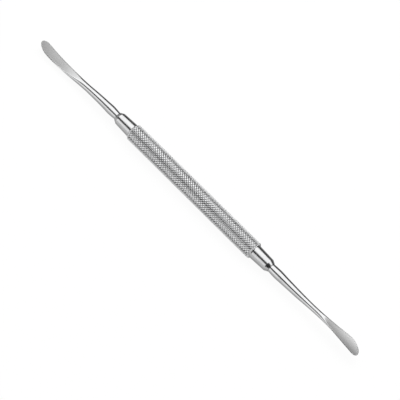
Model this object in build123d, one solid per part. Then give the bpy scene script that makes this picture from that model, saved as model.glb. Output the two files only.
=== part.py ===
from build123d import *
import os
from math import cos, isclose, pi, sin

# Periosteal elevator, in millimetres: a knurled round handle with a working end fixed in a socket at each end.
# X runs along the instrument and +Z is up. It lies on its grip with both blades level,
# the blunt end at -X and the sharp end at +X, and the plane z = 0 is the surface that it lies on.

# Knurled grip: crossing V grooves at 45 degrees, with a short bevel at each end
grip_diameter = 7.8
grip_length = 72.9
grip_bevel_length = 0.6
grip_bevel_drop = 0.4
knurl_starts = 20
knurl_depth = 0.28

# Smooth necks and the sockets bored in them
neck_root_diameter = 6.3
neck_front_diameter = 5.6
neck_length = 8.05
neck_edge_radius = 0.3
mouth_length = 1.5
mouth_diameter = 4.1
socket_diameter = 3.0
socket_depth = 10.0
drill_point_angle = 118.0

# Fit of the working ends: the tang is round, and the shank's step seats on the mouth
tang_clearance = 0.05
tang_end_gap = 0.4
tang_lead_chamfer = 0.3

# Shoulder of both shanks. A place named _at is measured from the mouth, and one named _from_tip from the tip
shoulder_diameter = 4.14
shoulder_at = 4.6

# Blunt end
blunt_length = 48.7
blunt_root_diameter = 3.5
blunt_root_end_diameter = 3.86
blunt_root_end_at = 7.0
blunt_mid_diameter = 3.44
blunt_waist_diameter = 3.14
blunt_waist_from_tip = 28.0
blunt_heel_width = 4.2
blunt_heel_depth = 2.8
blunt_heel_from_tip = 17.0
blunt_blade_width = 4.8
blunt_blade_depth = 2.1
blunt_widest_from_tip = 8.0
blunt_heel_thickness = 1.2
blunt_tip_thickness = 0.5
blunt_bow_starts_at = 7.0
blunt_bow_from_tip = 12.0
blunt_bow_height = -1.8
blunt_tip_height = 0.1
blunt_belly_nose = 6.4
blunt_back_nose = 3.8
blunt_nose_lean = 0.4

# Sharp end
sharp_length = 49.3
sharp_root_diameter = 3.8
sharp_root_end_diameter = 3.86
sharp_root_end_at = 8.0
sharp_mid_diameter = 3.16
sharp_waist_diameter = 2.56
sharp_waist_from_tip = 24.0
sharp_heel_width = 3.2
sharp_heel_depth = 2.2
sharp_heel_from_tip = 15.5
sharp_blade_width = 4.96
sharp_blade_depth = 1.8
sharp_widest_from_tip = 6.0
sharp_heel_thickness = 1.0
sharp_tip_thickness = 0.3
sharp_bow_starts_at = 12.0
sharp_bow_from_tip = 8.0
sharp_bow_height = 1.42
sharp_tip_height = 0.25
sharp_belly_nose = 7.2
sharp_back_nose = 2.4
sharp_nose_lean = 0.9

# Grinding of the blades
grinding_radius = 60.0
face_run_in = 16.0
stock_margin = 2.0
nose_margin = 0.04

# Places along the handle
grip_end = grip_length / 2
neck_end = grip_end + neck_length
mouth_at = neck_end + mouth_length
axis_height = grip_diameter / 2


def knurled_grip():
    """The grip's band of four-sided points, each between four crossings of the grooves."""
    columns = 2 * knurl_starts
    rows = round(grip_length * columns / (pi * grip_diameter))

    def corner(row, column):
        from_end = min(row, rows - row) * grip_length / rows
        bevel = grip_bevel_drop * max(0, 1 - from_end / grip_bevel_length)
        groove = knurl_depth * ((row + column) % 2)
        radius = grip_diameter / 2 - bevel - groove
        angle = 2 * pi * column / columns
        return Vector(grip_length * (row / rows - 0.5), radius * cos(angle), radius * sin(angle))

    rings = [[corner(row, column) for column in range(columns)] for row in range(rows + 1)]
    facets = []
    for row in range(rows):
        for column in range(columns):
            after = (column + 1) % columns
            cell = [rings[row][column], rings[row][after], rings[row + 1][after], rings[row + 1][column]]
            # the cell is folded along the groove that runs between its two low corners
            if (row + column) % 2:
                cell = cell[1:] + cell[:1]
            facets.append(Face(Wire.make_polygon((cell[0], cell[1], cell[3]))))
            facets.append(Face(Wire.make_polygon((cell[1], cell[2], cell[3]))))
    ends = [Face(Wire.make_polygon(rings[0])), Face(Wire.make_polygon(rings[-1]))]
    return Solid(Shell(facets + ends))


def turned_bar():
    """The bar that carries the grip: a tapered neck and a chamfered mouth at each end."""
    half = [
        (grip_end, neck_root_diameter / 2),
        (neck_end, neck_front_diameter / 2),
        (mouth_at, mouth_diameter / 2),
        (mouth_at, 0),
    ]
    mirrored = [(-x, radius) for x, radius in reversed(half)]
    bar = revolve(make_face(Polyline(*mirrored, *half, close=True)), Axis.X)
    corners = bar.edges().filter_by(GeomType.CIRCLE).filter_by(lambda e: isclose(abs(e.center().X), neck_end))
    return fillet(corners, neck_edge_radius)


def socket_cutter():
    """One blind drilled socket, from a mouth at x = 0 back along -X."""
    radius = socket_diameter / 2
    point = radius / tan_of(drill_point_angle / 2)
    outline = Polyline((0, 0), (0, radius), (-socket_depth, radius), (-socket_depth - point, 0), close=True)
    return revolve(make_face(outline), Axis.X)


def tan_of(degrees):
    """Tangent of an angle in degrees."""
    angle = degrees * pi / 180
    return sin(angle) / cos(angle)


def handle():
    """The whole handle, one turned and knurled bar with a socket in each end."""
    right_socket = Pos(mouth_at, 0, 0) * socket_cutter()
    left_socket = Rot(0, 0, 180) * right_socket
    return knurled_grip() + turned_bar() - [right_socket, left_socket]


def tang():
    """The round tang behind the shank's step, with a lead-in chamfer at its tail."""
    radius = socket_diameter / 2 - tang_clearance
    length = socket_depth - tang_end_gap
    stud = Rot(0, -90, 0) * Cylinder(radius, length, align=(Align.CENTER, Align.CENTER, Align.MIN))
    return chamfer(stud.edges().sort_by(Axis.X)[0], tang_lead_chamfer)


def working_end(length, root, mid_diameter, waist, heel, blade, thickness, bow, nose):
    """A forged and ground working end that points along +X, with its mouth plane at x = 0.

    root: diameter at the mouth, then the diameter and the place where the turned root ends.
    mid_diameter: diameter halfway from there to the waist.
    waist: diameter and distance from the tip of the last round section.
    heel, blade: width, depth and distance from the tip of a section pointed at both edges.
    thickness: at the heel and at the tip.
    bow: where it starts, how far from the tip it is highest, its height there and the tip's height.
    nose: length of the nose on the belly side, on the back side, and how far its point leans to the back.
    """
    root_diameter, root_end_diameter, root_end_at = root
    waist_diameter, waist_from_tip = waist
    heel_width, heel_depth, heel_from_tip = heel
    blade_width, blade_depth, widest_from_tip = blade
    bow_starts_at, bow_from_tip, bow_height, tip_height = bow
    belly_nose, back_nose, lean = nose
    half_width = blade_width / 2
    waist_at = length - waist_from_tip
    mid_at = (root_end_at + waist_at) / 2
    heel_at = length - heel_from_tip
    widest_at = length - widest_from_tip
    bow_at = length - bow_from_tip
    stock_end = length + stock_margin

    def centre(x):
        if x <= bow_at:
            ease = max(0, (x - bow_starts_at) / (bow_at - bow_starts_at))
            return bow_height * ease * ease * (3 - 2 * ease)
        past = (x - bow_at) / (length - bow_at)
        return bow_height + (tip_height - bow_height) * past * past

    def half_thickness(x):
        taper = (length - x) / (length - heel_at)
        wheel = max(0, heel_at - x) ** 2 / (2 * grinding_radius)
        return (thickness[1] + (thickness[0] - thickness[1]) * taper) / 2 + wheel

    def section(width, depth, x):
        top = ThreePointArc((width / 2, 0), (0, depth / 2), (-width / 2, 0))
        under = ThreePointArc((-width / 2, 0), (0, -depth / 2), (width / 2, 0))
        return Plane(origin=(x, 0, centre(x)), x_dir=(0, 1, 0), z_dir=(1, 0, 0)) * make_face([top, under])

    # round root with its shoulder
    shoulder = (shoulder_at, shoulder_diameter / 2)
    root_side = ThreePointArc((0, root_diameter / 2), shoulder, (root_end_at, root_end_diameter / 2))
    root_axis = Polyline(root_side @ 1, (root_end_at, 0), (0, 0), root_side @ 0)
    root_piece = revolve(make_face([root_side, root_axis]), Axis.X)

    # from there the round bar is forged out into a blade pointed at both edges, still thick
    stock = loft(
        [
            section(root_end_diameter, root_end_diameter, root_end_at),
            section(mid_diameter, mid_diameter, mid_at),
            section(waist_diameter, waist_diameter, waist_at),
            section(heel_width, heel_depth, heel_at),
            section(blade_width, blade_depth, widest_at),
            section(blade_width, blade_depth, (widest_at + stock_end) / 2),
            section(blade_width, blade_depth, stock_end),
        ]
    )

    # both faces ground flat across and hollow along, thinning to the tip
    for side in (1, -1):
        stations = [heel_at - face_run_in, heel_at - face_run_in / 2, heel_at, widest_at, length, stock_end]
        edge = [(x, centre(x) + side * half_thickness(x)) for x in stations]
        outer = centre(widest_at) + side * shoulder_diameter * 2
        rim = Polyline(edge[-1], (stock_end, outer), (edge[0][0], outer), edge[0])
        waste = Plane.XZ * make_face([Spline(*edge), rim])
        stock -= extrude(Pos(0, blade_width, 0) * waste, amount=blade_width * 2)

    # nose: two quarter ellipses that meet at a point set towards the back, started just outside the stock
    belly_half = half_width + nose_margin
    belly = EllipticalCenterArc((length - belly_nose, -lean), belly_nose, belly_half + lean)
    back = EllipticalCenterArc((length - back_nose, -lean), back_nose, belly_half - lean, -90)
    sides = Polyline(
        belly @ 1,
        (length - belly_nose, blade_width),
        (root_end_at - stock_margin, blade_width),
        (root_end_at - stock_margin, -blade_width),
        (length - belly_nose, -blade_width),
        back @ 0,
    )
    outline = Pos(0, 0, -blade_width) * make_face([belly, back, sides])
    blade_piece = stock & extrude(outline, amount=blade_width * 2)
    return root_piece + blade_piece + tang()


def blunt_end():
    """The broad, round-nosed end, turned to point along -X."""
    end = working_end(
        blunt_length,
        (blunt_root_diameter, blunt_root_end_diameter, blunt_root_end_at),
        blunt_mid_diameter,
        (blunt_waist_diameter, blunt_waist_from_tip),
        (blunt_heel_width, blunt_heel_depth, blunt_heel_from_tip),
        (blunt_blade_width, blunt_blade_depth, blunt_widest_from_tip),
        (blunt_heel_thickness, blunt_tip_thickness),
        (blunt_bow_starts_at, blunt_bow_from_tip, blunt_bow_height, blunt_tip_height),
        (blunt_belly_nose, blunt_back_nose, blunt_nose_lean),
    )
    return Rot(0, 0, 180) * (Pos(mouth_at, 0, 0) * end)


def sharp_end():
    """The narrower end with the sweeping belly, which points along +X."""
    end = working_end(
        sharp_length,
        (sharp_root_diameter, sharp_root_end_diameter, sharp_root_end_at),
        sharp_mid_diameter,
        (sharp_waist_diameter, sharp_waist_from_tip),
        (sharp_heel_width, sharp_heel_depth, sharp_heel_from_tip),
        (sharp_blade_width, sharp_blade_depth, sharp_widest_from_tip),
        (sharp_heel_thickness, sharp_tip_thickness),
        (sharp_bow_starts_at, sharp_bow_from_tip, sharp_bow_height, sharp_tip_height),
        (sharp_belly_nose, sharp_back_nose, sharp_nose_lean),
    )
    return Pos(mouth_at, 0, 0) * end


os.makedirs("parts", exist_ok=True)
for name, piece in (("handle", handle()), ("blunt_end", blunt_end()), ("sharp_end", sharp_end())):
    export_step(Pos(0, 0, axis_height) * piece, f"parts/{name}.step")
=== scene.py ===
"""Periosteal elevator: a knurled, turned handle with a working end seated in either socket."""

import logging
from dataclasses import dataclass
from enum import Enum
from math import pi
from typing import Any

import bpy
import numpy as np
from mathutils import Matrix, Vector


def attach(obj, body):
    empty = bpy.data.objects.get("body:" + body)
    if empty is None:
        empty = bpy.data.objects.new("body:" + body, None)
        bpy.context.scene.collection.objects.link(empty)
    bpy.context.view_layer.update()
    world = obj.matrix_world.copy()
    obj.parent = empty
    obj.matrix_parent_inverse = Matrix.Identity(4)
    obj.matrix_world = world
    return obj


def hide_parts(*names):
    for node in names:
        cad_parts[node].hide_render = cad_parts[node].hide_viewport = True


log = logging.getLogger("elevator")

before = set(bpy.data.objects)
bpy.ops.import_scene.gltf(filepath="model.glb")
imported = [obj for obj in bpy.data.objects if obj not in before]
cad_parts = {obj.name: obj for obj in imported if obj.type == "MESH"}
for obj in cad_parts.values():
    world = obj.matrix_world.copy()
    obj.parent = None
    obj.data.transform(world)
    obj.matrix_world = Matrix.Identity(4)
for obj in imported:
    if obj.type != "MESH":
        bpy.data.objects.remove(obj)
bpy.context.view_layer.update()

# A millimetre in metres, and the pixels along one side of the picture.
MM = 0.001
PICTURE = 400

# Keeps off zero what is divided by, or raised to a power below zero.
TINY = 1e-6

# How far a bump's highs stand over its lows, in metres.
BUMP_DEPTH = 0.00001

# The Noise Texture's own roughness, and the noise over which polished steel gets duller.
NOISE_ROUGHNESS = 0.55
CLOUD_EDGE = (0.35, 0.7)

# The red and the blue of stainless steel as shares of its green.
STEEL_RED = 0.995
STEEL_BLUE = 1.008


# Shader nodes


class Wire:
    """One output of a node, whose operators add the Math nodes that work them out."""

    def __init__(self, graph: "Graph", socket: bpy.types.NodeSocket | None) -> None:
        """Keep the graph and the output that this value comes from, which an end node lacks."""
        self.graph = graph
        self.socket = socket

    def join(self, operation: str, first: Any, second: Any) -> "Wire":
        """Add one Math node.

        Args:
            operation: the Math node's operation.
            first: its first value or wire.
            second: its second value or wire.

        Returns:
            The node's result.
        """
        return self.graph.add("ShaderNodeMath", {"operation": operation}, {0: first, 1: second})

    def __add__(self, other: Any) -> "Wire":
        """This plus the other."""
        return self.join("ADD", self, other)

    def __radd__(self, other: Any) -> "Wire":
        """The other plus this."""
        return self.join("ADD", other, self)

    def __rsub__(self, other: Any) -> "Wire":
        """The other less this."""
        return self.join("SUBTRACT", other, self)

    def __mul__(self, other: Any) -> "Wire":
        """This times the other."""
        return self.join("MULTIPLY", self, other)

    def __rmul__(self, other: Any) -> "Wire":
        """The other times this."""
        return self.join("MULTIPLY", other, self)

    def most(self, other: Any) -> "Wire":
        """The larger of this and the other."""
        return self.join("MAXIMUM", self, other)

    def step(self, low: float, high: float) -> "Wire":
        """A soft step that rises from 0 at low to 1 at high."""
        settings = {"interpolation_type": "SMOOTHSTEP"}
        values = {"Value": self, "From Min": low, "From Max": high, "To Min": 0.0, "To Max": 1.0}
        return self.graph.add("ShaderNodeMapRange", settings, values)

    def band(self, low: float, high: float, soft: float) -> "Wire":
        """1 between low and high and 0 outside, with half of each edge soft wide."""
        return self.step(low - soft, low + soft) * (1 - self.step(high - soft, high + soft))


@dataclass(frozen=True)
class Grain:
    """Soft noise: its grains per metre along X, Y and Z, and the Noise Texture's detail."""

    per_metre: tuple[float, float, float]
    detail: float


class Graph:
    """The node tree of one material or world."""

    def __init__(self, tree: bpy.types.NodeTree) -> None:
        """Start from an empty tree."""
        self.tree = tree
        tree.nodes.clear()

    def add(
        self, kind: str, settings: dict[str, Any], values: dict[Any, Any], output: Any = 0
    ) -> Wire:
        """Add one node.

        Args:
            kind: the node's type.
            settings: its properties, set before its sockets.
            values: numbers, colours or wires for its inputs, by name or place.
            output: the name or place of the output to return.

        Returns:
            That output.
        """
        node = self.tree.nodes.new(kind)
        for name, value in settings.items():
            setattr(node, name, value)
        for name, value in values.items():
            if isinstance(value, Wire):
                self.tree.links.new(value.socket, node.inputs[name])
            else:
                node.inputs[name].default_value = value
        return Wire(self, node.outputs[output] if len(node.outputs) else None)

    def mix(self, share: Any, first: Any, second: Any) -> Wire:
        """Mix two colours, from the first at share 0 to the second at share 1."""
        settings = {"data_type": "RGBA", "blend_type": "MIX"}
        return self.add("ShaderNodeMix", settings, {0: share, 6: first, 7: second}, 2)

    def axis(self, vector: Wire, name: str) -> Wire:
        """A vector's part along the axis of that name."""
        return self.add("ShaderNodeSeparateXYZ", {}, {"Vector": vector}, name)

    def ray(self, name: str) -> Wire:
        """1 for the rays that the Light Path's output of that name marks, and 0 for others."""
        return self.add("ShaderNodeLightPath", {}, {}, name)

    def noise(self, grain: Grain) -> Wire:
        """The grain's noise from 0 to 1, over the object's own coordinates."""
        coordinates = self.add("ShaderNodeTexCoord", {}, {}, "Object")
        scaled = {"Vector": coordinates, "Scale": grain.per_metre}
        place = self.add("ShaderNodeMapping", {}, scaled)
        values = {
            "Vector": place, "Scale": 1.0, "Detail": grain.detail, "Roughness": NOISE_ROUGHNESS
        }
        return self.add("ShaderNodeTexNoise", {"noise_dimensions": "3D"}, values, "Fac")

    def plain_grey(self, level: Any) -> Wire:
        """The grey colour of a level that varies."""
        return self.add("ShaderNodeCombineXYZ", {}, {0: level, 1: level, 2: level})

    def attribute(self, name: str) -> Wire:
        """A number that the mesh holds at each of its points."""
        return self.add("ShaderNodeAttribute", {"attribute_name": name}, {}, "Fac")

    def clouded(self, cloud: Wire, level: float, dulled: float) -> Wire:
        """Steel of that level, which falls to a dulled share of it where the cloud is thick."""
        return self.mix(cloud.step(*CLOUD_EDGE), steel(level), steel(level * dulled))

    def bump(self, strength: float, height: Wire) -> Wire:
        """The normals of a surface that is raised by that height, from 0 to 1."""
        values = {"Strength": strength, "Distance": BUMP_DEPTH, "Height": height}
        return self.add("ShaderNodeBump", {}, values)


def grey(level: float) -> tuple[float, float, float, float]:
    """A plain grey of that level."""
    return (level, level, level, 1.0)


def steel(level: float) -> tuple[float, float, float, float]:
    """The very slightly cool grey of stainless steel, of that level."""
    return (level * STEEL_RED, level, level * STEEL_BLUE, 1.0)


def new_material(name: str) -> tuple[bpy.types.Material, Graph]:
    """Make an empty material.

    Args:
        name: its name.

    Returns:
        The material and its graph.
    """
    made = bpy.data.materials.new(name)
    made.use_nodes = True
    return made, Graph(made.node_tree)


def finish_metal(
    made: bpy.types.Material, graph: Graph, colour: Wire, rough: Wire, bump: Wire
) -> bpy.types.Material:
    """Close a metal's graph.

    Args:
        made: the material.
        graph: its graph.
        colour: what feeds Base Color.
        rough: what feeds Roughness.
        bump: what feeds Normal.

    Returns:
        The same material.
    """
    values = {"Base Color": colour, "Roughness": rough, "Metallic": 1.0, "Normal": bump}
    shader = graph.add("ShaderNodeBsdfPrincipled", {}, values)
    graph.add("ShaderNodeOutputMaterial", {}, {"Surface": shader})
    return made


@dataclass(frozen=True)
class TurnedSteel:
    """Lathe-turned and polished bar, with fine rings around it."""

    name: str = "turned_steel"
    level: float = 0.6
    dulled: float = 0.93
    roughness: float = 0.14
    ring_roughness: float = 0.1
    cloud_roughness: float = 0.05
    bump: float = 0.12
    rings: Grain = Grain((8000.0, 300.0, 300.0), 3.0)
    clouds: Grain = Grain((260.0, 420.0, 420.0), 3.0)

    def material(self) -> bpy.types.Material:
        """Make the material: rings that run round the bar, and slow clouds in its polish."""
        made, graph = new_material(self.name)
        rings = graph.noise(self.rings)
        cloud = graph.noise(self.clouds)
        colour = graph.clouded(cloud, self.level, self.dulled)
        rough = self.roughness + self.ring_roughness * rings + self.cloud_roughness * cloud
        return finish_metal(made, graph, colour, rough, graph.bump(self.bump, rings))


@dataclass(frozen=True)
class KnurledSteel:
    """Cut diamonds, bright on their tops, rougher and painted dark as shade down in the grooves."""

    name: str = "knurled_steel"
    crest: float = 0.92
    dulled: float = 0.92
    # Painted shade: the colour deep in the grooves, and the depth share where it starts.
    groove: float = 0.08
    painted_shade_from: float = 0.25
    roughness: float = 0.12
    groove_roughness: float = 0.2
    grain_roughness: float = 0.08
    bump: float = 0.15
    grain: Grain = Grain((5200.0, 5200.0, 5200.0), 2.0)
    clouds: Grain = Grain((130.0, 240.0, 240.0), 3.0)

    def material(self) -> bpy.types.Material:
        """Make the material: polish and painted shade follow how deep a point lies in its groove."""
        made, graph = new_material(self.name)
        deep = graph.attribute("groove_share")
        grain = graph.noise(self.grain)
        worn = graph.clouded(graph.noise(self.clouds), self.crest, self.dulled)
        # Painted shade: the colour darkens towards the bottom of each groove.
        colour = graph.mix(deep.step(self.painted_shade_from, 1.0), worn, steel(self.groove))
        rough = self.roughness + self.groove_roughness * deep + self.grain_roughness * grain
        return finish_metal(made, graph, colour, rough, graph.bump(self.bump, grain))


@dataclass(frozen=True)
class BladeSteel:
    """Polished shank that runs out into satin faces, ground lengthwise."""

    name: str = "blade_steel"
    polished: float = 0.6
    dulled: float = 0.93
    satin: float = 0.42
    scratch_dark: float = 0.92
    scratch_rise: float = 0.16
    smooth: float = 0.15
    polish_roughness: float = 0.06
    rough: float = 0.46
    scratch_roughness: float = 0.14
    bump: float = 0.2
    polish_height: float = 0.25
    scratches: Grain = Grain((170.0, 9000.0, 5200.0), 3.0)
    polish: Grain = Grain((500.0, 3000.0, 3000.0), 2.0)
    clouds: Grain = Grain((200.0, 420.0, 420.0), 2.0)

    def material(self) -> bpy.types.Material:
        """Make the material: polish off the ground faces, long fine scratches on them, and painted
        shade in the satin's colour.
        """
        made, graph = new_material(self.name)
        ground = graph.attribute("ground_share")
        scratches = graph.noise(self.scratches)
        polish = graph.noise(self.polish)
        bright = graph.clouded(graph.noise(self.clouds), self.polished, self.dulled)
        scratched = self.scratch_dark + self.scratch_rise * scratches
        # Painted shade and painted highlight: a per-point share darkens or lightens the satin's
        # colour along and across the blade and at its rim.
        painted_shade = graph.attribute("satin_painted_shade") * self.satin * scratched
        colour = graph.mix(ground, bright, graph.plain_grey(painted_shade))
        rougher = self.rough - self.smooth + self.scratch_roughness * scratches
        rough = self.smooth + self.polish_roughness * polish + ground * rougher
        height = polish * self.polish_height + ground * scratches
        return finish_metal(made, graph, colour, rough, graph.bump(self.bump, height))


# Surfaces


def eased(x: np.ndarray, low: float, high: float) -> np.ndarray:
    """A soft step from 0 at low to 1 at high.

    It is the share of the way, squared, times 3 less twice the share.

    Args:
        x: where the step is wanted.
        low: where it starts.
        high: where it ends.

    Returns:
        The step's value at each x.
    """
    share = np.clip((x - low) / (high - low), 0, 1)
    return share * share * (3 - 2 * share)


def smooth_through(
    x: np.ndarray, places: tuple[float, ...], values: tuple[float, ...]
) -> np.ndarray:
    """A smooth curve through a few stations.

    Between two stations it is the cubic whose slopes there are those of the chord from the station
    before to the station after; at the first and the last it is the slope of the one chord.

    Args:
        x: where the curve is wanted.
        places: where the stations are, rising.
        values: the curve's value at each.

    Returns:
        The curve's value at each x.
    """
    at = np.asarray(places, float)
    value = np.asarray(values, float)
    slope = np.empty_like(value)
    slope[1:-1] = (value[2:] - value[:-2]) / (at[2:] - at[:-2])
    slope[0] = (value[1] - value[0]) / (at[1] - at[0])
    slope[-1] = (value[-1] - value[-2]) / (at[-1] - at[-2])
    n = np.clip(np.searchsorted(at, x, side="right") - 1, 0, len(at) - 2)
    span = at[n + 1] - at[n]
    s = np.clip((x - at[n]) / span, 0.0, 1.0)
    rise = value[n + 1] - value[n]
    bend = s * (1 - s) * ((slope[n] * span - rise) * (1 - s) - (slope[n + 1] * span - rise) * s)
    return value[n] + rise * s + bend


def rounded_profile(
    corners: list[tuple[float, float]], radius: float, longest: float
) -> tuple[np.ndarray, np.ndarray]:
    """A run of straight lines whose inner corners are broken by small curves.

    Each corner is the parabola that leaves one line a radius before the corner and meets the next
    a radius after it. The straights are then cut so that no step is longer than longest.

    Args:
        corners: the profile's corners, place along X and radius.
        radius: how far from a corner its curve starts.
        longest: the longest step along the profile.

    Returns:
        Places along X and radii.
    """
    turn_points = 5
    most_of_a_line = 0.4
    kept_digits = 4
    p = np.asarray(corners, float)
    step = np.diff(p, axis=0)
    reach = np.linalg.norm(step, axis=1, keepdims=True)
    ahead = step / reach
    cut = np.minimum(radius, most_of_a_line * np.minimum(reach[:-1], reach[1:]))
    before = p[1:-1] - ahead[:-1] * cut
    after = p[1:-1] + ahead[1:] * cut
    s = np.linspace(0.0, 1.0, turn_points)[None, :, None]
    middle = 2 * s * (1 - s) * p[1:-1, None]
    turns = (1 - s) ** 2 * before[:, None] + middle + s**2 * after[:, None]
    points = np.vstack([p[:1], turns.reshape(-1, 2), p[-1:]])
    lengths = np.linalg.norm(np.diff(points, axis=0), axis=1)
    along = np.concatenate([[0.0], np.cumsum(lengths)])
    extra = np.arange(0.0, along[-1], longest)
    stations = np.unique(np.round(np.concatenate([along, extra]), kept_digits))
    return np.interp(stations, along, points[:, 0]), np.interp(stations, along, points[:, 1])


def column_angles(columns: int) -> np.ndarray:
    """The angles of a ring's columns, evenly round from 0."""
    return np.arange(columns) * 2 * pi / columns


def turned_rings(x: np.ndarray, radius: np.ndarray, columns: int) -> np.ndarray:
    """Rings of points round the X axis.

    Y and Z are the radius times the cosine and the sine of the column's angle.

    Args:
        x: the rings' places.
        radius: one radius for each ring, or one for each of its points.
        columns: how many points a ring has.

    Returns:
        The points, as rings by columns by X, Y, Z.
    """
    angle = column_angles(columns)
    radius = radius.reshape(len(x), -1)
    out = np.empty((len(x), columns, 3))
    out[..., 0] = x[:, None]
    out[..., 1] = radius * np.cos(angle)
    out[..., 2] = radius * np.sin(angle)
    return out


def tube_mesh(name: str, rings: np.ndarray, flat: np.ndarray) -> bpy.types.Object:
    """A closed skin over rings of points that follow each other, with a point at either end.

    Each four neighbouring points make two triangles. The cut between them changes direction from
    one four to the next like the squares of a chessboard, so that it follows lines at 45 degrees.

    Args:
        name: the piece's name.
        rings: points in millimetres, as rings by columns by X, Y, Z; the first and last are poles.
        flat: for each gap between rings, whether its faces are flat shaded.

    Returns:
        The object, at the origin, in metres.
    """
    poles = rings[[0, -1]].mean(axis=1)
    body = rings[1:-1]
    rows, columns = body.shape[:2]
    points = np.vstack([poles[:1], body.reshape(-1, 3), poles[1:]]) * MM
    row, column = np.meshgrid(np.arange(rows - 1), np.arange(columns), indexing="ij")
    after = (column + 1) % columns
    a = 1 + row * columns + column
    b = 1 + row * columns + after
    c = 1 + (row + 1) * columns + after
    d = 1 + (row + 1) * columns + column
    even = ((row + column) % 2 == 0)[..., None]
    first = np.where(even, np.stack([a, b, c], -1), np.stack([a, b, d], -1))
    second = np.where(even, np.stack([a, c, d], -1), np.stack([b, c, d], -1))
    skin = np.stack([first, second], 2).reshape(-1, 3)
    around = np.arange(columns)
    beyond = (around + 1) % columns
    last = 1 + (rows - 1) * columns
    start = np.stack([np.zeros_like(around), 1 + beyond, 1 + around], -1)
    end = np.stack([np.full_like(around, len(points) - 1), last + around, last + beyond], -1)
    faces = np.vstack([start, skin, end])
    fan = np.repeat(flat[[0, -1]], columns)
    dull = np.concatenate([fan[:columns], np.repeat(flat[1:-1], columns * 2), fan[columns:]])
    mesh = bpy.data.meshes.new(name)
    mesh.vertices.add(len(points))
    mesh.vertices.foreach_set("co", points.ravel())
    mesh.loops.add(faces.size)
    mesh.loops.foreach_set("vertex_index", faces.ravel().astype(np.int32))
    mesh.polygons.add(len(faces))
    mesh.polygons.foreach_set("loop_start", np.arange(0, faces.size, 3, dtype=np.int32))
    mesh.polygons.foreach_set("loop_total", np.full(len(faces), 3, dtype=np.int32))
    mesh.update(calc_edges=True)
    mesh.polygons.foreach_set("use_smooth", ~dull)
    mesh.validate()
    made = bpy.data.objects.new(name, mesh)
    bpy.context.scene.collection.objects.link(made)
    return made


def hold_share(made: bpy.types.Object, name: str, share: np.ndarray) -> None:
    """Store a number at each point of a tube mesh.

    Args:
        made: the object.
        name: the attribute's name.
        share: the number, as rings by columns, poles included.
    """
    values = np.concatenate([share[0, :1], share[1:-1].ravel(), share[-1, :1]]).astype(np.float32)
    made.data.attributes.new(name, "FLOAT", "POINT").data.foreach_set("value", values)


# Pieces, in millimetres


@dataclass
class Handle:
    """The turned bar: knurled grip, tapered necks, chamfered mouths and a socket in each end."""

    axis_height: float = 3.9
    grip_radius: float = 3.9
    grip_length: float = 72.9
    starts: int = 21
    cells_per_groove: int = 6
    groove_heights: tuple[float, ...] = (-0.24, -0.048, -0.01, 0.0)
    bevel_length: float = 0.6
    bevel_drop: float = 0.4
    bevel_groove_share: float = 0.6
    neck_root: float = 3.15
    neck_front: float = 2.8
    neck_length: float = 8.05
    mouth_length: float = 1.5
    mouth_radius: float = 2.05
    socket_radius: float = 1.5
    socket_depth: float = 10.0
    drill_point: float = 0.9
    edge_break: float = 0.12
    longest_step: float = 0.5

    @property
    def mouth_at(self) -> float:
        """Distance of a mouth from the middle of the bar."""
        return self.grip_length / 2 + self.neck_length + self.mouth_length

    def knurl(self) -> tuple[np.ndarray, np.ndarray]:
        """The grip's rings.

        Two families of grooves cross at 45 degrees, where row plus column and row less column are
        whole numbers of cells_per_groove. A point's height goes by its steps from the nearer
        groove, and the grooves are shallower on the bevels.

        Returns:
            The rings, and how deep each point lies as a share of the groove.
        """
        cells = self.cells_per_groove
        columns = self.starts * cells
        rows = round(self.grip_length * columns / (2 * pi * self.grip_radius))
        row, column = np.meshgrid(np.arange(rows + 1), np.arange(columns), indexing="ij")
        one = (row + column) % cells
        other = (row - column) % cells
        nearer = np.minimum(np.minimum(one, cells - one), np.minimum(other, cells - other))
        from_end = np.minimum(row, rows - row) * self.grip_length / rows
        bevel = self.bevel_drop * np.clip(1 - from_end / self.bevel_length, 0, 1)
        shallower = np.where(from_end < self.bevel_length, self.bevel_groove_share, 1.0)
        height = np.asarray(self.groove_heights)[nearer] * shallower
        x = self.grip_length * (np.arange(rows + 1) / rows - 0.5)
        rings = turned_rings(x, self.grip_radius - bevel + height, columns)
        return rings, height / self.groove_heights[0]

    def neck(self, columns: int) -> np.ndarray:
        """The rings from the grip's end out to the mouth and down its socket, at the +X end.

        Args:
            columns: how many points a ring has.

        Returns:
            The rings.
        """
        grip_end = self.grip_length / 2
        neck_end = grip_end + self.neck_length
        socket_end = self.mouth_at - self.socket_depth
        corners = [
            (grip_end, self.neck_root),
            (neck_end, self.neck_front),
            (self.mouth_at, self.mouth_radius),
            (self.mouth_at, self.socket_radius),
            (socket_end, self.socket_radius),
            (socket_end - self.drill_point, 0.0),
        ]
        x, radius = rounded_profile(corners, self.edge_break, self.longest_step)
        return turned_rings(x, radius, columns)

    def build(self, turned: bpy.types.Material, knurled: bpy.types.Material) -> bpy.types.Object:
        """Build the bar as one closed skin and dress it.

        Args:
            turned: the material of necks, mouths and sockets.
            knurled: the material of the grip.

        Returns:
            The piece.
        """
        grip, deep = self.knurl()
        right = self.neck(grip.shape[1])
        left = right[::-1] * (-1.0, 1.0, 1.0)
        rings = np.concatenate([left, grip, right])
        rings[..., 2] += self.axis_height
        grip_from = len(left)
        grip_to = grip_from + len(grip)
        share = np.zeros(rings.shape[:2])
        share[grip_from:grip_to] = deep
        flat = np.zeros(len(rings) - 1, bool)
        flat[grip_from:grip_to - 1] = True
        made = tube_mesh("handle_bar", rings, flat)
        hold_share(made, "groove_share", share)
        made.data.materials.append(turned)
        made.data.materials.append(knurled)
        smooth = np.empty(len(made.data.polygons), bool)
        made.data.polygons.foreach_get("use_smooth", smooth)
        made.data.polygons.foreach_set("material_index", (~smooth).astype(np.int32))
        return made


class Side(Enum):
    """Which end of the handle a working end sits in, as the sign of X there."""

    BLUNT = -1
    SHARP = 1


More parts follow.
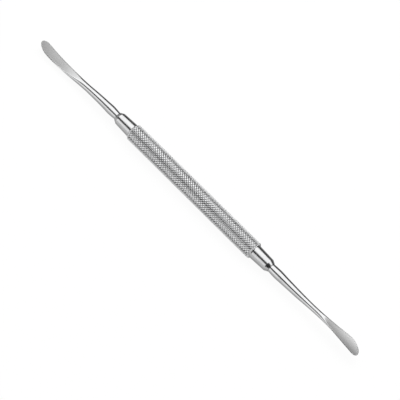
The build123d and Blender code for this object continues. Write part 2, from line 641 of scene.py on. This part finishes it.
@dataclass
class WorkingEnd:
    """A shank that is forged out into a blade, ground on both faces, with a round tang behind it.

    Places run from 0 at the mouth to length at the tip. Each row of places has a row of values.
    """

    side: Side
    name: str
    node: str
    length: float
    mouth_at: float
    axis_height: float

    # The forged blank: its width, and the depth of its lens section
    round_places: tuple[float, ...]
    round_widths: tuple[float, ...]
    lens_from: float
    lens_places: tuple[float, ...]
    lens_depths: tuple[float, ...]

    # The ground faces, the bend out of the axis and the nose
    heel_at: float
    heel_thickness: float
    tip_thickness: float
    bow_from: float
    bow_at: float
    bow_height: float
    tip_height: float
    belly_nose: float
    back_nose: float
    nose_lean: float

    # The satin of the ground faces, with shade and highlight painted into its colour
    satin_from: float
    satin_to: float
    painted_shade_places: tuple[float, ...]
    painted_shades: tuple[float, ...]
    painted_shade_across: float
    rim_painted_highlight: float
    rim_places: tuple[float, ...]
    rim_satins: tuple[float, ...]
    soft_places: tuple[float, ...]
    soft_depths: tuple[float, ...]

    # The rim of the nose, and how sharp the creases are: the higher the power, the sharper
    rim_slope: float
    rim_edge: float
    crease_places: tuple[float, ...]
    crease_powers: tuple[float, ...]

    grinding_radius: float = 60.0
    polished_share: float = 0.2
    lift_height: float = 0.8
    lift_reach: float = 4.0
    no_rim: float = 9.0
    tang_radius: float = 1.45
    tang_length: float = 9.6
    tang_chamfer: float = 0.3
    tang_edge_break: float = 0.03
    tang_step: float = 1.0
    columns: int = 240
    row_step: float = 0.25
    nose_rows: int = 70

    def rows(self) -> np.ndarray:
        """Places of the sections: even steps to the nose, then closer and closer to the tip."""
        nose_at = self.length - self.belly_nose
        even = np.arange(0.0, nose_at, self.row_step)
        share = np.linspace(0.0, pi / 2, self.nose_rows)
        return np.concatenate([even, nose_at + self.belly_nose * np.sin(share)])

    def centre(self, x: np.ndarray) -> np.ndarray:
        """Height of the middle line: a soft S out to the bow, then a parabola back to the tip."""
        past = np.clip((x - self.bow_at) / (self.length - self.bow_at), 0, 1)
        out = self.bow_height * eased(x, self.bow_from, self.bow_at)
        return out + (self.tip_height - self.bow_height) * past * past

    def faces(self, x: np.ndarray) -> np.ndarray:
        """Half of the ground thickness: an even taper, with the wheel's arc before the heel."""
        taper = (self.length - x) / (self.length - self.heel_at)
        wheel = np.clip(self.heel_at - x, 0, None) ** 2 / (2 * self.grinding_radius)
        return (self.tip_thickness + (self.heel_thickness - self.tip_thickness) * taper) / 2 + wheel

    def outline(self, x: np.ndarray, half: np.ndarray) -> tuple[np.ndarray, np.ndarray]:
        """The two edges seen from above: the blank's, cut by a quarter ellipse on either side.

        Args:
            x: places of the sections.
            half: half of the blank's width at each.

        Returns:
            The back edge and the belly edge.
        """
        widest = half[-1]
        on_belly = np.clip((x - self.length + self.belly_nose) / self.belly_nose, 0, 1)
        on_back = np.clip((x - self.length + self.back_nose) / self.back_nose, 0, 1)
        belly = (widest + self.nose_lean) * np.sqrt(1 - on_belly**2) - self.nose_lean
        back = -(widest - self.nose_lean) * np.sqrt(1 - on_back**2) - self.nose_lean
        return np.maximum(back, -half), np.minimum(belly, half)

    def rim(self, x: np.ndarray, y: np.ndarray, widest: float) -> np.ndarray:
        """Half the height of the rim's slope round the nose.

        A point's share of the way out to each quarter ellipse, less 1 and over the steepness of
        that share, is close to its distance from the outline. The rim rises from the edge with
        that distance. It stands lift_height higher where the nose starts, which fades with the
        square of the way that is left of lift_reach, so that the rim has no sharp end there.

        Args:
            x: places of the points.
            y: their places across.
            widest: half of the blank's width at the nose.

        Returns:
            The half height, everywhere large behind the nose.
        """
        inwards = []
        for nose, across, side in (
            (self.belly_nose, widest + self.nose_lean, y > -self.nose_lean),
            (self.back_nose, widest - self.nose_lean, y <= -self.nose_lean),
        ):
            ahead = np.clip((x - self.length + nose) / nose, 0, None)
            aside = (y + self.nose_lean) / across
            left = np.clip(1 - ahead * nose / self.lift_reach, 0, 1)
            lift = self.lift_height * left**2 / self.rim_slope
            share = np.sqrt(ahead**2 + aside**2) + TINY
            steep = np.sqrt((ahead / nose) ** 2 + (aside / across) ** 2) / share + TINY
            distance = np.clip(1 - share, 0, None) / steep + lift
            inwards.append(np.where(side & (ahead > 0), distance, self.no_rim))
        return self.rim_edge + self.rim_slope * np.minimum(*inwards)

    def finish(
        self, x: np.ndarray, across: np.ndarray, spare: np.ndarray
    ) -> tuple[np.ndarray, np.ndarray]:
        """How satin the surface is, and the shade painted into its satin.

        A point is as satin as the ground face lies below the other surfaces: that depth over the
        soft depth of its place, less polished_share, from 0 to 1. Where rim_satins says more, it is
        that satin. Shade is painted into the satin's colour: it grows lighter or darker along the
        blade, leans across it, and polished points have up to a set share more of it, a painted
        highlight along the edges.

        Args:
            x: places of the sections.
            across: the points' places across, as shares of the blank's half width at the nose.
            spare: how much lower the ground face lies than the lowest other surface.

        Returns:
            How satin each point is, and the shade painted into its satin.
        """
        soft = np.interp(x, self.soft_places, self.soft_depths)[:, None]
        flat = np.clip(spare / soft - self.polished_share, 0, 1)
        # Painted shade: the satin's colour goes lighter or darker along and across the blade, and
        # lighter at polished points as a painted highlight.
        painted_shade = smooth_through(x, self.painted_shade_places, self.painted_shades)[:, None]
        painted_shade = painted_shade * (1 + self.painted_shade_across * across) * (1 + self.rim_painted_highlight * (1 - flat))
        flat = np.maximum(flat, np.interp(x, self.rim_places, self.rim_satins)[:, None])
        return flat * eased(x, self.satin_from, self.satin_to)[:, None], painted_shade

    def sections(self) -> tuple[np.ndarray, np.ndarray, np.ndarray]:
        """The blade's and shank's sections.

        A section spans its two edges. Its half height is the least of four: the half circle over
        the edges, the arc that rises to the forged depth at the middle, the ground face and the rim
        of the nose. The least is taken softly, by adding inverse powers, which rounds the creases.

        Returns:
            The rings, how satin their surface is, and the shade painted into the satin.
        """
        sine_digits = 9
        x = self.rows()
        half = smooth_through(x, self.round_places, self.round_widths) / 2
        depth = smooth_through(x, self.lens_places, self.lens_depths) / 2
        depth = np.where(x < self.lens_from, half, np.minimum(depth, half))
        back, belly = self.outline(x, half)
        angle = column_angles(self.columns)
        reach = ((belly - back) / 2)[:, None]
        y = ((back + belly) / 2)[:, None] + reach * np.cos(angle)
        wall = np.abs(reach * np.sin(angle))
        bow_radius = ((half**2 + depth**2) / (2 * depth))[:, None]
        lens = depth[:, None] - bow_radius + np.sqrt(np.clip(bow_radius**2 - y**2, 0, None))
        ground = np.broadcast_to(self.faces(x)[:, None], y.shape)
        rim = self.rim(x[:, None], y, half[-1])
        heights = np.stack([wall, np.clip(lens, 0, None), ground, rim]) + TINY
        power = smooth_through(x, self.crease_places, self.crease_powers)[:, None]
        least = np.sum(heights**-power, axis=0) ** (-1 / power)
        face = np.sign(np.round(np.sin(angle), sine_digits))
        rings = np.empty((len(x), self.columns, 3))
        rings[..., 0] = x[:, None]
        rings[..., 1] = y
        rings[..., 2] = self.centre(x)[:, None] + face * least
        spare = np.minimum(np.minimum(wall, lens), rim) - ground
        satin, painted_shade = self.finish(x, y / half[-1], spare)
        return rings, satin, painted_shade

    def build(self, material: bpy.types.Material) -> bpy.types.Object:
        """Build the end as one closed skin, from the tang's tail to the tip, and dress it.

        Args:
            material: its steel.

        Returns:
            The piece, which stands for its CAD node.
        """
        blade, ground, painted_shade = self.sections()
        corners = [
            (-self.tang_length, 0.0),
            (-self.tang_length, self.tang_radius - self.tang_chamfer),
            (-self.tang_length + self.tang_chamfer, self.tang_radius),
            (0.0, self.tang_radius),
            (0.0, self.round_widths[0] / 2),
        ]
        x, radius = rounded_profile(corners, self.tang_edge_break, self.tang_step)
        tang = turned_rings(x, radius, self.columns)[:-1]
        rings = np.concatenate([tang, blade])
        rings[..., 0] += self.mouth_at
        rings[..., :2] *= self.side.value
        rings[..., 2] += self.axis_height
        plain = np.zeros(tang.shape[:2])
        made = tube_mesh(self.name, rings, np.zeros(len(rings) - 1, bool))
        hold_share(made, "ground_share", np.concatenate([plain, ground]))
        # The satin's painted shade; the tang keeps a plain 1.
        hold_share(made, "satin_painted_shade", np.concatenate([plain + 1, painted_shade]))
        made.data.materials.append(material)
        return made


def blunt_end(handle: Handle) -> WorkingEnd:
    """The broad end with the round nose, at -X.

    Args:
        handle: the handle that it sits in.

    Returns:
        The end.
    """
    return WorkingEnd(
        side=Side.BLUNT,
        name="blunt_blade",
        node="blunt_end",
        length=48.7,
        mouth_at=handle.mouth_at,
        axis_height=handle.axis_height,
        round_places=(0.0, 2.0, 4.4, 7.0, 13.85, 20.7, 31.7, 40.7, 45.7, 50.7),
        round_widths=(3.5, 3.86, 4.12, 3.86, 3.44, 3.14, 4.2, 4.8, 4.8, 4.8),
        lens_from=13.85,
        lens_places=(13.85, 20.7, 31.7, 40.7, 50.7),
        lens_depths=(3.44, 3.14, 2.8, 2.1, 2.1),
        heel_at=31.7,
        heel_thickness=1.2,
        tip_thickness=0.5,
        bow_from=7.0,
        bow_at=36.7,
        bow_height=-1.8,
        tip_height=0.1,
        belly_nose=6.4,
        back_nose=3.8,
        nose_lean=0.4,
        satin_from=20.0,
        satin_to=36.0,
        # Painted shade: the satin is lighter near the shank, darker towards the tip, and a little
        # darker towards one edge.
        painted_shade_places=(20.0, 30.0, 38.0, 48.7),
        painted_shades=(1.16, 1.12, 1.04, 0.84),
        painted_shade_across=-0.12,
        rim_painted_highlight=0.6,
        rim_places=(34.0, 40.0),
        rim_satins=(0.0, 1.0),
        soft_places=(24.0, 36.0),
        soft_depths=(0.3, 0.06),
        rim_slope=0.9,
        rim_edge=0.03,
        crease_places=(0.0, 18.0, 24.0, 32.0, 40.0, 48.7),
        crease_powers=(14.0, 12.0, 7.0, 5.5, 8.0, 12.0),
    )


def sharp_end(handle: Handle) -> WorkingEnd:
    """The narrower end with the sweeping belly, at +X.

    Args:
        handle: the handle that it sits in.

    Returns:
        The end.
    """
    return WorkingEnd(
        side=Side.SHARP,
        name="sharp_blade",
        node="sharp_end",
        length=49.3,
        mouth_at=handle.mouth_at,
        axis_height=handle.axis_height,
        round_places=(0.0, 2.0, 4.4, 8.0, 14.2, 25.3, 33.8, 43.3, 47.3, 51.3),
        round_widths=(3.8, 4.02, 4.14, 3.76, 3.3, 2.54, 3.2, 4.96, 4.96, 4.96),
        lens_from=14.2,
        lens_places=(14.2, 25.3, 33.8, 43.3, 51.3),
        lens_depths=(3.3, 2.54, 2.2, 1.8, 1.8),
        heel_at=33.8,
        heel_thickness=1.0,
        tip_thickness=0.3,
        bow_from=12.0,
        bow_at=41.3,
        bow_height=1.42,
        tip_height=0.25,
        belly_nose=7.2,
        back_nose=2.4,
        nose_lean=0.9,
        satin_from=26.0,
        satin_to=33.0,
        # Painted shade: the satin grows lighter towards the tip and much darker towards one edge than
        # the other.
        painted_shade_places=(20.0, 33.0, 40.0, 49.3),
        painted_shades=(0.9, 0.94, 1.08, 1.08),
        painted_shade_across=0.48,
        rim_painted_highlight=0.6,
        rim_places=(31.0, 38.0, 46.5, 48.3),
        rim_satins=(0.0, 1.0, 1.0, 0.0),
        soft_places=(26.0, 38.0),
        soft_depths=(0.3, 0.06),
        rim_slope=0.6,
        rim_edge=0.02,
        crease_places=(0.0, 20.0, 26.0, 33.0, 38.0, 44.0, 49.3),
        crease_powers=(14.0, 12.0, 7.0, 3.0, 3.6, 9.0, 12.0),
        grinding_radius=18.0,
    )


# Studio


@dataclass
class Studio:
    """Pale floor, soft studio light and the camera.

    A direction's lean is its angle from straight up towards +Y, seen along the bar, in degrees. Its
    place along the bar runs from -1 at -X to 1 at +X. An edge is where a light starts to come and
    where it is all there. A band is a light's two ends and half the width of its edges.
    """

    # The levels of the lights, and of what lies between them
    dark: float = 0.03
    softbox: float = 1.6
    front: float = 1.3
    spot: float = 0.5
    behind: float = 0.35

    # The softbox above: its edges across the bar, and how it changes along it
    near_edge: tuple[float, float] = (-27.0, -13.0)
    near_edge_goes: tuple[float, float] = (0.34, 0.44)
    second_edge: tuple[float, float] = (2.0, 14.0)
    far_edge: tuple[float, float] = (45.0, 59.0)
    corner_along: tuple[float, float] = (0.6, 0.72)
    corner_lean: tuple[float, float] = (0.0, 10.0)
    left_edge: tuple[float, float] = (-0.93, -0.86)
    left_share: float = 0.15

    # The other lights
    front_lean: tuple[float, float, float] = (-100.0, -53.0, 4.0)
    front_along: tuple[float, float, float] = (-0.66, -0.08, 0.07)
    spot_lean: tuple[float, float, float] = (-52.0, -22.0, 8.0)
    behind_lean: tuple[float, float, float] = (92.0, 200.0, 6.0)
    lamp_size: float = 0.9
    lamp_power: float = 6.0
    lamp_at: tuple[float, float, float] = (-0.25, 0.55, 1.1)

    # The floor, in metres, and how much darker reflections see it: all over, with painted shade
    # under the bar and beyond
    floor_size: float = 6.0
    floor_grey: float = 0.94
    floor_share: float = 0.95
    floor_fall: float = 0.2
    under_painted_shade: float = 0.3
    under_painted_shade_edge: tuple[float, float] = (-0.014, -0.003)
    beyond_painted_shade: float = 0.25
    beyond_painted_shade_edge: tuple[float, float] = (-0.002, 0.003)

    # The camera, in millimetres and pixels
    bars_middle: tuple[float, float, float] = (0.0, 0.0, 3.9)
    towards_camera: tuple[float, float, float] = (0.30736, -0.47580, 0.82410)
    picture_up: tuple[float, float, float] = (-0.66832, 0.50857, 0.54288)
    distance: float = 690.0
    focal_pixels: float = 1698.7
    middle_pixel: tuple[float, float] = (192.93, 190.63)
    sensor_width: float = 36.0
    clip_metres: tuple[float, float] = (0.01, 20.0)

    def world(self) -> None:
        """Light by directions: a long softbox above, a pale front, a spot and a wall behind.

        The softbox starts at its near edge, or at its second edge where the near edge goes
        towards +X. It lacks its corner at +X and has only left_share of its light at the far -X
        end, where the spot shines instead. The camera sees plain white.
        """
        world = bpy.data.worlds.new("studio")
        bpy.context.scene.world = world
        world.use_nodes = True
        graph = Graph(world.node_tree)
        direction = graph.add("ShaderNodeTexCoord", {}, {}, "Generated")
        along = graph.axis(direction, "X")
        lean = along.join("ARCTAN2", graph.axis(direction, "Y"), graph.axis(direction, "Z"))
        corner = along.step(*self.corner_along) * (1 - lean.step(*np.radians(self.corner_lean)))
        right = along.step(*self.left_edge)
        kept = 1 - along.step(*self.near_edge_goes)
        near = lean.step(*np.radians(self.near_edge)) * kept
        near = near.most(lean.step(*np.radians(self.second_edge)))
        above = near * (1 - lean.step(*np.radians(self.far_edge))) * (1 - corner)
        above = above * (self.left_share + (1 - self.left_share) * right)
        front = lean.band(*np.radians(self.front_lean)) * along.band(*self.front_along)
        spot = lean.band(*np.radians(self.spot_lean)) * (1 - right)
        behind = lean.band(*np.radians(self.behind_lean))
        level = self.dark + (self.softbox - self.dark) * above + (self.front - self.dark) * front
        level = level + self.behind * behind + self.spot * spot
        shown = graph.mix(graph.ray("Is Camera Ray"), graph.plain_grey(level), grey(1.0))
        light = graph.add("ShaderNodeBackground", {}, {"Color": shown, "Strength": 1.0})
        graph.add("ShaderNodeOutputWorld", {}, {"Surface": light})

    def floor(self) -> None:
        """A white floor that keeps the object's soft shadow.

        Nearly all of it is a glow for the camera and for reflections, and the rest is matt. For
        reflections the glow is dimmer all over, with shade painted into it under the bar and beyond.
        """
        half = self.floor_size / 2
        corners = [(-half, -half, 0), (half, -half, 0), (half, half, 0), (-half, half, 0)]
        mesh = bpy.data.meshes.new("floor")
        mesh.from_pydata(corners, [], [(0, 1, 2, 3)])
        plane = bpy.data.objects.new("floor", mesh)
        bpy.context.scene.collection.objects.link(plane)
        made, graph = new_material("floor_white")
        glossy = graph.ray("Is Glossy Ray")
        matt = graph.add("ShaderNodeBsdfDiffuse", {}, {"Color": grey(self.floor_grey)})
        across = graph.axis(graph.add("ShaderNodeTexCoord", {}, {}, "Object"), "Y")
        # Painted shade: reflections see the floor darker under the bar, and darker still beyond it.
        reflected_dimming_and_painted_shade = self.floor_fall + self.under_painted_shade * across.step(*self.under_painted_shade_edge)
        reflected_dimming_and_painted_shade = reflected_dimming_and_painted_shade + self.beyond_painted_shade * across.step(*self.beyond_painted_shade_edge)
        shown = graph.plain_grey(1 - reflected_dimming_and_painted_shade * glossy)
        lit = graph.add("ShaderNodeEmission", {}, {"Color": shown, "Strength": 1.0})
        share = self.floor_share * graph.ray("Is Camera Ray").most(glossy)
        surface = graph.add("ShaderNodeMixShader", {}, {0: share, 1: matt, 2: lit})
        graph.add("ShaderNodeOutputMaterial", {}, {"Surface": surface})
        mesh.materials.append(made)

    def camera(self) -> None:
        """The camera, which looks along one fixed direction.

        It is moved sideways so that the bar's middle lands on its pixel of the picture.
        """
        back = Vector(self.towards_camera).normalized()
        up = Vector(self.picture_up).normalized()
        right = up.cross(back).normalized()
        up = back.cross(right)
        scale = self.distance / self.focal_pixels
        off_right = (PICTURE / 2 - self.middle_pixel[0]) * scale
        off_up = (self.middle_pixel[1] - PICTURE / 2) * scale
        at = Vector(self.bars_middle) + back * self.distance + right * off_right + up * off_up
        data = bpy.data.cameras.new("camera")
        data.sensor_width = self.sensor_width
        data.lens = self.focal_pixels * self.sensor_width / PICTURE
        data.clip_start, data.clip_end = self.clip_metres
        made = bpy.data.objects.new("camera", data)
        turn = Matrix((right, up, back)).transposed().to_4x4()
        made.matrix_world = Matrix.Translation(at * MM) @ turn
        bpy.context.scene.collection.objects.link(made)
        bpy.context.scene.camera = made

    def lamp(self) -> None:
        """One wide soft lamp above and behind, which gives the object its shadow."""
        data = bpy.data.lights.new("key", "AREA")
        data.shape = "DISK"
        data.size = self.lamp_size
        data.energy = self.lamp_power
        made = bpy.data.objects.new("key", data)
        at = Vector(self.lamp_at)
        made.location = at
        made.visible_glossy = False
        made.rotation_euler = (-at).to_track_quat("-Z", "Y").to_euler()
        bpy.context.scene.collection.objects.link(made)

    def build(self) -> None:
        """Set up the whole studio."""
        self.world()
        self.floor()
        self.lamp()
        self.camera()
        bpy.context.scene.view_settings.view_transform = "Standard"


def main() -> None:
    """Set up the studio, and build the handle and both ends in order."""
    logging.basicConfig(level=logging.INFO, format="%(name)s: %(message)s")
    Studio().build()
    handle = Handle()
    bar = handle.build(TurnedSteel().material(), KnurledSteel().material())
    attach(bar, "root")
    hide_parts("handle")
    log.info("%s: %d triangles", bar.name, len(bar.data.polygons))
    blade_steel = BladeSteel().material()
    for end in (blunt_end(handle), sharp_end(handle)):
        made = end.build(blade_steel)
        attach(made, "root")
        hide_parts(end.node)
        log.info("%s: %d triangles", made.name, len(made.data.polygons))


if __name__ == "__main__":
    main()
